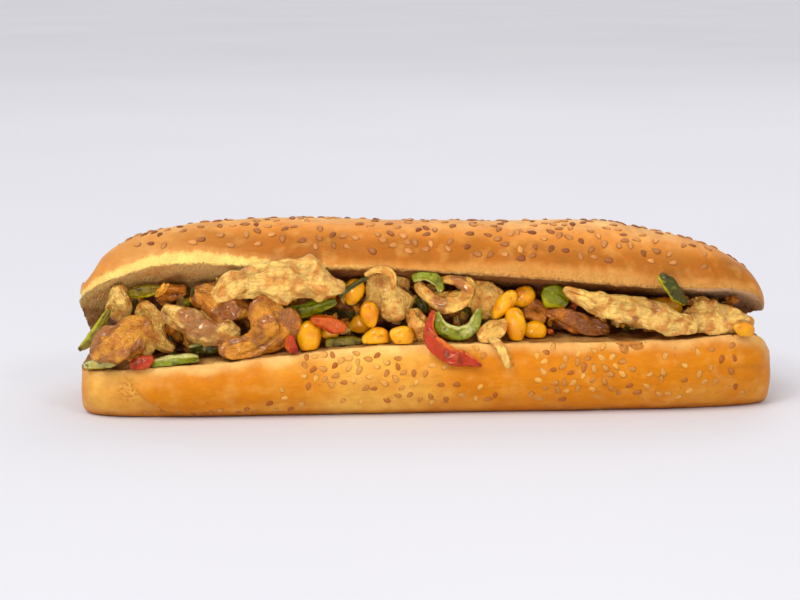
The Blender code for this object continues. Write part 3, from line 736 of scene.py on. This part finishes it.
def meat_paint(glaze, sear, base):
    """Relief and colour of torn meat: how much sauce, how much searing, and which base colour."""
    def paint(point, length, turn, reach, width, shift):
        across, deep = 1.7 * turn.x * width / 1.6, 1.7 * turn.y * width / 1.6
        fibres = noise.noise(Vector((length / 8 + shift, across, deep)))
        broad = min(1, width / 3)
        hollows = cloud(point, 5.5, shift + 2)
        tears = cloud(point, 2.6, shift + 7)
        ragged = smooth(cloud(point, 6, shift + 21), -0.15, 0.35)
        lift = broad * (0.5 * hollows + 0.25 * (1 - abs(2 * fibres)) + (0.12 + 0.35 * ragged) * tears)
        lift += ragged * (0.15 * cloud(point, 1.1, shift) + 0.08 * cloud(point, 0.55, shift))
        edge = smooth(abs(turn.x), 0.7, 1.0)
        lift += 0.35 * edge * ragged * broad * noise.noise(Vector((length / 1.6, 3 * turn.x, shift)))
        golden = smooth(tears + 0.8 * cloud(point, 3.4, shift), -0.1, 0.5)
        tint = base.lerp(colour(206, 124, 34), golden * 0.75)
        pooled = cloud(point, 6.5, shift + 4) + 0.5 * cloud(point, 2.5, shift)
        sauce = smooth(pooled + 1.3 * glaze - 0.72, -0.1, 0.2)
        tint = tint.lerp(colour(156, 84, 0), 0.8 * sauce)
        lift *= 1 - 0.45 * sauce
        hot = smooth(cloud(point, 4.5, shift + 9) + 0.45 * edge + 1.2 * sear - 0.9, 0.0, 0.4)
        tint = tint.lerp(colour(148, 74, 16), 0.8 * hot)
        char = smooth(cloud(point, 2.4, shift + 14) + 0.8 * sear - 0.95, 0.0, 0.25)
        tint = tint.lerp(colour(70, 32, 10), 0.85 * char)
        # Painted shade and light: hollows are darker and raised parts lighter.
        tint = tint * (0.58 + 0.42 * smooth(lift, -0.6, 0.3))
        return lift, tint, max(0.15, 0.8 * sauce, 0.5 * hot)
    return paint


PALE, CREAM = colour(255, 212, 112), colour(250, 198, 94)
GOLD, BROWN = colour(240, 164, 44), colour(210, 128, 28)
CHICKEN = [
    ("crumbs_left", -18, 3.0, [(-93.2, 40.3, 2.2), (-88.2, 41.8, 2.8), (-83.2, 42.2, 2.4)],
        "", 0.1, 0.2, BROWN),
    ("crumbly", -19, 3.5, [(32.3, 32.7, 3), (36.8, 33.2, 3.6), (41.3, 31.6, 3)], "", 0.4, 0.4, BROWN),
    ("slab", -21, 3.0, [(12.8, 45.4, 3), (16.8, 41.8, 6), (19.3, 36.4, 6), (17.8, 31.3, 3.5)],
        "", 0.05, 0.05, CREAM),
    ("centre_chunk", -22, 3.8, [(-20.2, 48.2, 4), (-15.2, 43.5, 7.6), (-12.2, 37.1, 7.4), (-11.2, 31.1, 3.5)],
        "", 0.15, 0.1, PALE),
    ("thin_right", -21, 1.8, [(89.3, 35.7, 1.2), (94.8, 35.6, 1.8), (100.3, 34.1, 1.2)], "", 0.7, 0.5, GOLD),
    ("seared", -20, 3.4, [(-81.7, 41.2, 3.5), (-74.2, 39.1, 5.2), (-67.2, 36.4, 5), (-61.2, 34, 2.8)],
        "", 0.55, 0.55, GOLD),
    ("upright", -23, 3.5, [(-104.7, 31.9, 3.2), (-105.2, 38.9, 3.8), (-106.2, 44.9, 2.4)],
        "", 0.1, 0.15, PALE),
    ("glazed_right", -22, 2.6, [(40.8, 34.1, 2.2), (47.8, 31.6, 3.6), (55.8, 28, 3.4), (62.8, 26.2, 2.2)],
        "", 0.85, 0.2, BROWN),
    ("pale_flat", -22, 2.6, [(-98.2, 38.9, 2.5), (-96.2, 33.8, 5), (-95.2, 28.8, 4), (-92.2, 24.8, 2.6),
        (-87.7, 21.8, 1.9)], "", 0.1, 0.05, CREAM),
    ("shredded_right", -22, 3.6, [(87.3, 31.7, 3.2), (94.8, 31.2, 5.2), (102.8, 30.1, 5.2),
        (111.8, 27.5, 3.6)], "", 0.1, 0.1, PALE),
    ("small_centre", -24, 3.0, [(-6, 36, 2.6), (-4.7, 30, 3.5), (-3.2, 24.6, 2.8)], "", 0.3, 0.2, CREAM),
    ("strip_left", -25, 3.5, [(-91.2, 37.1, 3), (-83.2, 32.7, 5), (-74.2, 28.8, 5), (-64.7, 27.2, 4)],
        "", 0.45, 0.25, PALE),
    ("upright_fold", -22, 3.4, [(-53.2, 44.5, 4.2), (-55.2, 37.5, 6), (-53.7, 30.5, 6.2), (-60.2, 25.1, 4.6),
        (-72.2, 23, 2.6)], "", 0.5, 0.15, GOLD),
    ("curl", -28, 2.8, [(-4.2, 45.6, 2.1), (-0.7, 41, 2.5), (4.8, 38.7, 2.7), (10.8, 39.5, 2.7),
        (13.2, 43.1, 2.5), (9.8, 46.1, 2.2), (3.8, 46.4, 1.8)], "", 0.4, 0.15, CREAM),
    ("knobs", -27, 3.0, [(-104.2, 21.5, 3.2), (-98.7, 23.3, 3.8), (-95.2, 21, 2.8)], "", 0.2, 0.2, CREAM),
    ("flap", -28, 3.0, [(-94.2, 33.6, 3), (-101.2, 30.2, 6.2), (-107.2, 26.3, 6.4), (-114.7, 22, 3.2)],
        "", 0.55, 0.15, GOLD),
    ("strip_centre", -29, 2.2, [(15.8, 27.5, 1.9), (20.8, 28.8, 2.7), (26.2, 32.2, 2.1)],
        "", 0.2, 0.2, CREAM),
    ("long_strip", -29, 3.0, [(45.3, 43.2, 1.4), (51.8, 39.7, 2.3), (58.8, 36.9, 3.6), (70.8, 34.4, 4.2),
        (80.8, 31.5, 5), (91.8, 29, 3.4)], "", 0.12, 0.15, PALE),
    ("top_piece", -31, 2.8, [(-73.2, 41.6, 2.6), (-65.2, 46.2, 4.4), (-53.2, 47.9, 5.8), (-41.2, 46.6, 6.2),
        (-28.7, 44.6, 3.6)], "lip", 0.15, 0.15, PALE),
    ("strand", -31, 0.9, [(-22.2, 48.8, 0.9), (-17.7, 50.7, 1.1), (-13.2, 49.1, 1.2), (-12.6, 43.7, 1)],
        "lip", 0.1, 0.1, CREAM),
    ("pale_strand", -34, 0.7, [(19.4, 27.2, 1, -32.5), (22.8, 25.4, 1.3, -35.2), (24.8, 20.8, 1.1, -37.6),
        (26, 17.6, 0.9, -38)], "front", 0.0, 0.0, PALE),
]
MEAT_FORM = {"sides": 64, "steps": 96, "rough": 0.75, "bluntness": 0.24, "square": 0.7}
meat_surface, tree, shader, tone = started("grilled_meat")
wet = carried(tree, "wet")["Fac"]
drawn = textured(tree, "ShaderNodeTexNoise", carried(tree, "thread")["Vector"], (0.16, 1.5, 1.5))
drawn.inputs["Detail"].default_value = 4.0
threads = ranged(tree, drawn.outputs["Fac"], 0.35, 0.65)
browned = tinted(tree, patches(tree, 1.8, 0.5, 0.66, 4), 0.45, tone, colour(196, 104, 8))
grain = tinted(tree, threads, 0.25, browned, colour(190, 116, 34))
dotted = tinted(tree, cells(tree, 2.1, 0.06, 0.12), 0.75, grain, colour(92, 44, 18))
tree.links.new(dotted, shader.inputs["Base Color"])
rough = reckoned(tree, "SUBTRACT", 0.42, reckoned(tree, "MULTIPLY", wet, 0.3))
tree.links.new(rough, shader.inputs["Roughness"])
tree.links.new(wet, shader.inputs["Coat Weight"])
set_on(shader, {"Specular IOR Level": 0.35, "Subsurface Weight": 0.15, "Subsurface Scale": 0.0015,
                "Subsurface Radius": (1.0, 0.45, 0.2), "Coat Roughness": 0.1})
bumped(tree, shader, threads, 0.4)
bumped(tree, shader, patches(tree, 1.3, 0.3, 0.7, 6), 0.5)
for name, y, depth, spine, outside, glaze, sear, base in CHICKEN:
    piece = strip("chicken_" + name, y, depth, spine, outside, MEAT_FORM, meat_paint(glaze, sear, base))
    piece.data.materials.append(meat_surface)
    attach(piece, "root")
    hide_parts("chicken_" + name)

# Sweetcorn: cooked kernels with a tight glossy skin, plump at the crown and pale where they were cut from
# the cob. They lie loose among the meat.
CORN = [
    ("01", -29, -41.2, 26.6, 13, 8.4, 84), ("02", -23, -25.7, 41.5, 9.6, 7.2, 70),
    ("03", -27, -20.4, 34.2, 9.4, 6.4, 100), ("04", -20, -23.7, 29.7, 7.6, 7.0, 20),
    ("05", -29, -18.6, 26.6, 9.6, 7.2, 8), ("06", -28, -9.8, 27.7, 8.6, 7.2, -20),
    ("07", -27, 25.5, 37, 12.4, 5.8, 52), ("08", -28, 29.4, 30.1, 13, 7.4, 98),
    ("09", -23, 32.2, 38.9, 9.5, 7.2, 30), ("10", -24, 36.2, 27.5, 8.8, 7.0, -10),
    ("11", -22, 82.4, 34.9, 11.8, 6.4, -16), ("12", -26, 1.4, 29.2, 8.6, 5.0, 95),
    ("13", -28, 107.4, 28.4, 7.6, 5.4, -20), ("14", -25, -34.2, 27.8, 6.4, 5.2, 10),
]
CORN_FORM = {"sides": 36, "steps": 36, "rough": 0.1, "bluntness": 0.56, "square": 0.86}


def kernel_paint(point, length, turn, reach, width, shift):
    """Relief and colour of a kernel: smooth, with a pale tip and an amber tinge at the crown."""
    lift = 0.12 * cloud(point, 3, shift) + 0.04 * cloud(point, 1, shift)
    tint = colour(236, 168, 0).lerp(colour(216, 132, 0), smooth(cloud(point, 4, shift), -0.2, 0.5))
    tint = tint.lerp(colour(240, 196, 70), 0.7 * (1 - smooth(reach, 0.04, 0.24)))
    stain = smooth(cloud(point, 1.6, shift + 6), 0.42, 0.6)
    return lift, tint.lerp(colour(168, 92, 14), 0.6 * stain), 1.0


corn_surface, tree, shader, tone = started("cooked_sweetcorn")
deepened = tinted(tree, patches(tree, 1.5, 0.4, 0.7), 0.25, tone, colour(206, 116, 0))
tree.links.new(deepened, shader.inputs["Base Color"])
set_on(shader, {"Roughness": 0.16, "Specular IOR Level": 0.35, "Subsurface Weight": 0.2,
                "Subsurface Radius": (1.0, 0.6, 0.1), "Subsurface Scale": 0.002})
bumped(tree, shader, patches(tree, 0.8, 0.3, 0.7), 0.05)
for name, y, x, z, length, width, turn in CORN:
    angle = math.radians(turn)
    dx, dz = math.cos(angle) * length / 2, math.sin(angle) * length / 2
    spine = [(x - dx, z - dz, width * 0.34), (x, z, width * 0.5), (x + dx, z + dz, width * 0.56)]
    piece = strip("corn_" + name, y, width * 0.36, spine, "", CORN_FORM, kernel_paint)
    piece.data.materials.append(corn_surface)
    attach(piece, "root")
    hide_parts("corn_" + name)

# Peppers: strips cut from green and red sweet peppers and fried until soft. The skin is glossy, the cut
# flesh on one long edge is paler, and some ends are charred.
LEAF, OLIVE, DEEP, LIME = colour(128, 138, 0), colour(126, 110, 0), colour(60, 66, 0), colour(176, 172, 4)
RED, ORANGE = colour(182, 46, 0), colour(200, 84, 0)
WHITE_FLESH, YELLOW_FLESH, RED_FLESH = colour(206, 202, 120), colour(208, 186, 50), colour(218, 104, 16)
PEPPERS = [
    ("green", "dark_left", -20, 1.3, [(-103.2, 41.4, 1.5), (-97.2, 42.3, 2), (-91.7, 43.3, 1.2)],
        "", OLIVE, LIME, 1),
    ("green", "dark_right", -19, 1.6, [(55.8, 37.5, 1.4), (59.8, 38.1, 2), (64.8, 37, 1.3)],
        "", DEEP, OLIVE, 1),
    ("green", "dark_centre", -21, 1.3, [(-3.7, 39, 1.3), (-2.2, 36, 1.7), (-1.2, 33, 1.2)],
        "", DEEP, OLIVE, 1),
    ("green", "bright_right", -24, 2.6, [(39, 41.2, 2), (42.6, 39.6, 3.6), (47.8, 36.8, 2.2)],
        "", LEAF, LIME, 1),
    ("green", "lying_left", -22, 2.4, [(-82.7, 22.1, 1.5), (-74.2, 22.5, 1.9), (-66.2, 22.6, 1.5)], "",
        DEEP, WHITE_FLESH, -1),
    ("green", "under_centre", -24, 1.6, [(-35.7, 24.6, 1.8), (-29.2, 25, 2.2), (-23.2, 25, 1.6)],
        "", OLIVE, DEEP, 1),
    ("green", "charred", -24, 1.6, [(-49.2, 35.2, 1.9), (-42.2, 35.4, 2.5), (-36.2, 37.3, 2.1),
        (-31.7, 38.9, 1.2)], "", LEAF, LIME, 1),
    ("green", "arched", -30, 1.5, [(-6, 47, 1.5), (-1.2, 48.4, 1.9), (2.6, 46.2, 1.7), (3.6, 42.6, 1.3)], "",
        LEAF, WHITE_FLESH, 1),
    ("green", "left_tip", -27, 1.3, [(-108.7, 37.4, 1.1), (-112, 31.5, 1.5), (-115.6, 26.6, 1.7),
        (-119.6, 23.4, 1.4)], "", OLIVE, LIME, 1),
    ("green", "pale_left", -26, 2.4, [(-118.2, 17.8, 1.2), (-112.7, 18.4, 1.6), (-106.7, 18.9, 1.2)], "",
        WHITE_FLESH, YELLOW_FLESH, 1),
    ("green", "curved", -30, 1.7, [(2.2, 35.6, 1.5), (4.2, 30, 2.3), (9.8, 27.9, 2.5), (14.4, 30.1, 2.3),
        (17, 36.4, 1.6)], "", LEAF, WHITE_FLESH, -1),
    ("green", "low_left", -31, 2.2, [(-94.7, 19.2, 1.3), (-87.2, 19.9, 1.9), (-78.7, 20.8, 1.4)], "",
        LEAF, WHITE_FLESH, -1),
    ("green", "thin_strand", -30, 0.8, [(-30.8, 41.3, 0.8), (-26.2, 44.8, 0.9), (-20.8, 47.8, 0.8)], "",
        DEEP, OLIVE, 1),
    ("green", "over_lip", -33, 1.3, [(77.2, 48.9, 1.7, -35.4), (80.4, 45.3, 2.3, -35.2),
        (83.8, 41.3, 2.5, -32.5), (87.4, 37.6, 1.6, -29)], "lip", DEEP, LIME, 1),
    ("red", "glazed", -29, 1.9, [(-40.7, 33.5, 1.7), (-34.2, 32.3, 2.5), (-28.6, 30.2, 1.9)],
        "", ORANGE, RED, 1),
    ("red", "sliver", -28, 1.6, [(-47.4, 29, 1.3), (-47.4, 25.2, 1.8), (-45.8, 22.4, 1.4)],
        "", RED, ORANGE, 1),
    ("red", "dice_left", -33, 1.5, [(-101.8, 18.9, 1.5), (-97.7, 19.8, 2.1), (-93.8, 21.6, 1.4)],
        "", RED, ORANGE, 1),
    ("red", "over_edge", -34, 1.1, [(1.2, 36.6, 1, -32), (-0.6, 31, 1.7, -33.4), (0.6, 26.4, 2.4, -36),
        (5.8, 22.1, 2.9, -38.2), (11.8, 20.7, 2.6, -38.6), (17, 18.4, 1, -38.8)],
        "front", RED, RED_FLESH, -1),
]
PEPPER_FORM = {"sides": 40, "steps": 80, "rough": 0.4, "bluntness": 0.2, "square": 0.62}


def skin_paint(skin, flesh, side):
    """Relief and colour of a pepper strip: wrinkled skin, and flesh along the long edge on this side."""
    def paint(point, length, turn, reach, width, shift):
        wrinkle = noise.noise(Vector((length / 3.5, 2.6 * turn.x, shift)))
        lift = 0.35 * wrinkle * min(1, width) + 0.14 * cloud(point, 1.2, shift)
        tint = skin.lerp(skin * 0.5, smooth(cloud(point, 2.6, shift), 0.0, 0.6))
        tint = tint.lerp(flesh, 0.5 * smooth(cloud(point, 1.9, shift + 5), 0.25, 0.6))
        cut = smooth(side * turn.x + 0.25 * cloud(point, 2.2, shift), 0.45, 0.75)
        tint = tint.lerp(flesh, 0.9 * cut)
        char = smooth(cloud(point, 2, shift + 12), 0.5, 0.62)
        return lift, tint.lerp(colour(46, 30, 14), 0.7 * char), 1.0
    return paint


pepper_surface, tree, shader, tone = started("fried_pepper")
softened = tinted(tree, patches(tree, 1.1, 0.45, 0.75), 0.4, tone, colour(120, 84, 20))
tree.links.new(softened, shader.inputs["Base Color"])
set_on(shader, {"Roughness": 0.2, "Specular IOR Level": 0.2, "Subsurface Weight": 0.08,
                "Subsurface Scale": 0.001, "Coat Weight": 0.25, "Coat Roughness": 0.08})
bumped(tree, shader, patches(tree, 1.4, 0.3, 0.7, 4), 0.3)
for kind, name, y, depth, spine, outside, skin, flesh, side in PEPPERS:
    node = f"{kind}_pepper_{name}"
    piece = strip(node, y, depth, spine, outside, PEPPER_FORM, skin_paint(skin, flesh, side))
    piece.data.materials.append(pepper_surface)
    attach(piece, "root")
    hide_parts(node)

# Chopped bits: small offcuts of chicken, pepper and corn held in the sauce, filling the gaps between the
# larger pieces. Three drops of the same sauce have run onto the crust of the lower half.
KERNEL, SAUCE = colour(232, 160, 0), colour(206, 128, 36)
BITS = [(PALE, 34), (CREAM, 34), (GOLD, 56), (BROWN, 60), (LEAF, 18), (DEEP, 14), (LIME, 10), (ORANGE, 10),
        (KERNEL, 10)]
BIT_UNEVENNESS, DROP_UNEVENNESS = 0.55, 0.28
DROPS = [(68, 0.5, 4.6, 1.1), (66, 2.2, 1.5, 1.9), (70.5, 1.5, 2.2, 1.3)]
bed_front = surface_of(bed)
bit_rng = random.Random(23)


def pebble(whole, middle, axes, tint, uneven):
    """A small lump with these half axes, joined to the others."""
    lump = bmesh.new()
    bmesh.ops.create_icosphere(lump, subdivisions=3, radius=1)
    layer = lump.verts.layers.float_color.new("tone")
    shift = middle.x * 3.1
    for vertex in lump.verts:
        swell = 1 + uneven * noise.noise(vertex.co * 1.6 + Vector((shift, 0, 0)))
        swell += 0.4 * uneven * noise.noise(vertex.co * 4 + Vector((0, shift, 0)))
        # Painted shade and light: each lump is darker where it dips in and lighter where it swells out.
        vertex[layer] = (*(tint * (0.6 + 0.5 * smooth(swell, 0.7, 1.2))), 1)
        place = middle + sum((axis * share for axis, share in zip(axes, vertex.co)), Vector()) * swell
        vertex.co = (place if uneven == DROP_UNEVENNESS else kept_in_mouth(place, "")) * MM
    joined(whole, lump)


bit_mesh = bmesh.new()
bit_mesh.verts.layers.float_color.new("tone")
for tint, count in BITS:
    for _ in range(count):
        x = bit_rng.uniform(-108, 110)
        roof = (HINGE_Y + 16) * math.tan(tilt(x))
        z = along(CUT_LINE, x) + bit_rng.uniform(0.04, 0.96) * roof
        hit = bed_front.ray_cast(Vector((x, -60, z)) * MM, Vector((0, 1, 0)))[0]
        y = (hit.y / MM if hit else -15) - bit_rng.uniform(0.2, 9.0)
        turned = Matrix.Rotation(bit_rng.uniform(0, 3.14), 3, "Y")
        turned = turned @ Matrix.Rotation(bit_rng.gauss(0, 0.4), 3, "Z")
        size = bit_rng.uniform(0.8, 2.2)
        lengths = (size * bit_rng.uniform(1, 1.9), size * 0.7, size * bit_rng.uniform(0.6, 0.9))
        axes = [turned.col[index] * lengths[index] for index in range(3)]
        pebble(bit_mesh, Vector((x, y, z)), axes, tint, BIT_UNEVENNESS)
for x, arc, long_half, high_half in DROPS:
    hit, normal, _, _ = lower_crust.find_nearest(point_at(tub_outline(x), arc) * MM)
    down = Vector((1, 0, 0)).cross(normal).normalized()
    axes = [Vector((long_half, 0, 0)), normal * 0.6, down * high_half]
    pebble(bit_mesh, hit / MM, axes, SAUCE, DROP_UNEVENNESS)
bits = object_from("chopped_bits", bit_mesh)
bit_surface, tree, shader, tone = started("sauced_bits")
sauced = tinted(tree, patches(tree, 0.9, 0.4, 0.7), 0.3, tone, colour(140, 76, 18))
tree.links.new(sauced, shader.inputs["Base Color"])
set_on(shader, {"Roughness": 0.3, "Specular IOR Level": 0.4})
bumped(tree, shader, patches(tree, 0.7, 0.3, 0.7, 4), 0.25)
bits.data.materials.append(bit_surface)
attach(bits, "root")
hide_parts("filling_bed")

# Floor and backdrop: one sheet of pale matt paper, laid flat under the sandwich and curved up behind it.
# Sizes here are in metres. Faint clouds of tone lie over it, as on hand-made paper.
PAPER_LENGTH, PAPER_HALF_WIDTH, PAPER_FRONT = 16.0, 8, 4.0
BEND_START, BEND_RADIUS = 8.0, 1.5
stage_mesh = bmesh.new()
bmesh.ops.create_grid(stage_mesh, x_segments=2, y_segments=60, size=1)
for vertex in stage_mesh.verts:
    run = (vertex.co.y + 1) / 2 * PAPER_LENGTH - PAPER_FRONT
    x = vertex.co.x * PAPER_HALF_WIDTH
    if run < BEND_START:
        vertex.co = (x, run, 0)
    else:
        turn = min((run - BEND_START) / BEND_RADIUS, math.pi / 2)
        rise = max(0.0, run - BEND_START - BEND_RADIUS * math.pi / 2)
        y = BEND_START + BEND_RADIUS * math.sin(turn)
        vertex.co = (x, y, BEND_RADIUS * (1 - math.cos(turn)) + rise)
floor = object_from("paper_sweep", stage_mesh)
paper, tree, shader, tone = started("pale_paper")
haze = patches(tree, 420, 0.3, 0.7, 2)
tree.links.new(mixed(tree, haze, colour(216, 215, 220), colour(220, 219, 223)), shader.inputs["Base Color"])
shader.inputs["Roughness"].default_value = 0.9
floor.data.materials.append(paper)

# Soft daylight: a pale sky all round, broad soft light from above and to the left, small windows that give
# the sauce its highlights, and a warm glow off the table in front.
WHITE, WARM = (1, 1, 1), (1, 0.82, 0.6)
world = bpy.data.worlds.new("daylight")
bpy.context.scene.world = world
world.use_nodes = True
set_on(world.node_tree.nodes["Background"], {"Color": (0.97, 0.975, 1.0, 1), "Strength": 0.67})
for name, kind, place, size, power, shade, spread, aim_height in (
    ("broad_light", "SUN", (-0.6, -0.55, 1.5), math.radians(30), 1.0, WHITE, 180, 0.04),
    ("left_window", "AREA", (-0.7, -0.8, 1.0), 0.25, 4, WHITE, 180, 0.04),
    ("right_window", "AREA", (0.6, -1.0, 0.9), 0.25, 3, WHITE, 180, 0.04),
    ("back_window", "AREA", (0.3, 1.1, 1.3), 0.8, 3, WHITE, 180, 0.04),
    ("table_glow", "AREA", (-0.08, -0.5, 0.012), 0.16, 0.3, WARM, 50, 0.16),
):
    lamp = bpy.data.lights.new(name, kind)
    if kind == "SUN":
        lamp.angle = size
    else:
        lamp.size = size
        lamp.spread = math.radians(spread)
    lamp.energy = power
    lamp.color = shade
    light = bpy.data.objects.new(name, lamp)
    light.location = place
    aim = Vector((0, 0, aim_height)) - Vector(place)
    light.rotation_euler = aim.to_track_quat("-Z", "Y").to_euler()
    bpy.context.scene.collection.objects.link(light)

# Camera at the photograph's place and angle: low in front of the sandwich, turned a little to the right and
# looking slightly down. Its focal length is in picture points, and its place in metres.
YAW, PITCH, ROLL = math.radians(2.51), math.radians(10.66), math.radians(0.3)
FOCAL_POINTS, PICTURE_WIDTH, FILM_WIDTH = 1834, 800, 36
CAMERA_PLACE = (-0.037, -0.6412, 0.155)
ahead = Vector((math.sin(YAW) * math.cos(PITCH), math.cos(YAW) * math.cos(PITCH), -math.sin(PITCH)))
level = Vector((math.cos(YAW), -math.sin(YAW), 0))
upward = level.cross(ahead)
right = level * math.cos(ROLL) - upward * math.sin(ROLL)
top = upward * math.cos(ROLL) + level * math.sin(ROLL)
lens = bpy.data.cameras.new("camera")
lens.sensor_width = FILM_WIDTH
lens.lens = FOCAL_POINTS / PICTURE_WIDTH * FILM_WIDTH
camera = bpy.data.objects.new("camera", lens)
bpy.context.scene.collection.objects.link(camera)
turned = Matrix((right, top, -ahead)).transposed().to_4x4()
camera.matrix_world = Matrix.Translation(CAMERA_PLACE) @ turned
bpy.context.scene.camera = camera
bpy.context.scene.view_settings.view_transform = "Standard"
